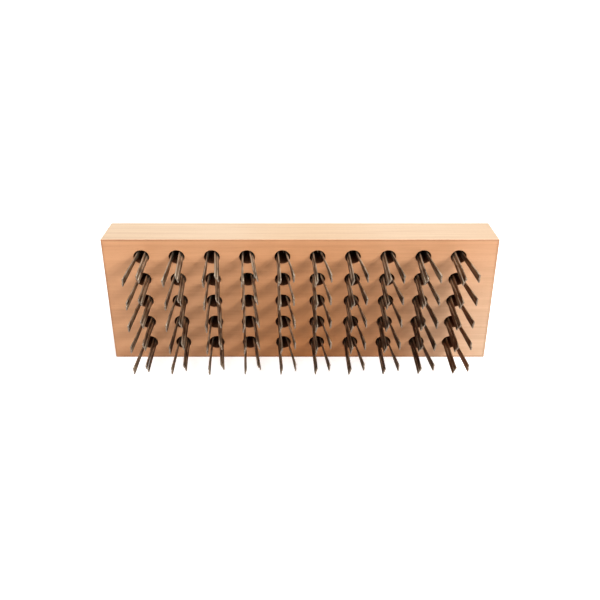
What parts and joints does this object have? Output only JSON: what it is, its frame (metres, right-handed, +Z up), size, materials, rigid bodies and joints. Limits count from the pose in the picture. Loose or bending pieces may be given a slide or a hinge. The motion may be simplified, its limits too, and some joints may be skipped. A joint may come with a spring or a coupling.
{
  "type": "block wire brush",
  "caption": "Rectangular hardwood block brush that stands on its long edge, with rows of stiff flat-wire tufts set in drilled blind holes for scrubbing and scraping.",
  "frame": {"origin": "centre of the long narrow face that the block stands on", "axes": "+X along the block, +Y out of the block's bare back so that the wires point to -Y, +Z up"},
  "size_m": [0.2286, 0.0623, 0.0785],
  "materials": {
    "block": "sanded bare beech",
    "wire": "oil-tempered, dark brown-grey, bright sheared ends"
  },
  "bodies": {
    "root": {"block": "block", "tuft_r1_c01": "wire", "tuft_r1_c02": "wire", "tuft_r1_c03": "wire", "tuft_r1_c04": "wire", "tuft_r1_c05": "wire", "tuft_r1_c06": "wire", "tuft_r1_c07": "wire", "tuft_r1_c08": "wire", "tuft_r1_c09": "wire", "tuft_r1_c10": "wire", "tuft_r2_c01": "wire", "tuft_r2_c02": "wire", "tuft_r2_c03": "wire", "tuft_r2_c04": "wire", "tuft_r2_c05": "wire", "tuft_r2_c06": "wire", "tuft_r2_c07": "wire", "tuft_r2_c08": "wire", "tuft_r2_c09": "wire", "tuft_r2_c10": "wire", "tuft_r3_c01": "wire", "tuft_r3_c02": "wire", "tuft_r3_c03": "wire", "tuft_r3_c04": "wire", "tuft_r3_c05": "wire", "tuft_r3_c06": "wire", "tuft_r3_c07": "wire", "tuft_r3_c08": "wire", "tuft_r3_c09": "wire", "tuft_r3_c10": "wire", "tuft_r4_c01": "wire", "tuft_r4_c02": "wire", "tuft_r4_c03": "wire", "tuft_r4_c04": "wire", "tuft_r4_c05": "wire", "tuft_r4_c06": "wire", "tuft_r4_c07": "wire", "tuft_r4_c08": "wire", "tuft_r4_c09": "wire", "tuft_r4_c10": "wire", "tuft_r5_c01": "wire", "tuft_r5_c02": "wire", "tuft_r5_c03": "wire", "tuft_r5_c04": "wire", "tuft_r5_c05": "wire", "tuft_r5_c06": "wire", "tuft_r5_c07": "wire", "tuft_r5_c08": "wire", "tuft_r5_c09": "wire", "tuft_r5_c10": "wire"}
  },
  "joints": []
}
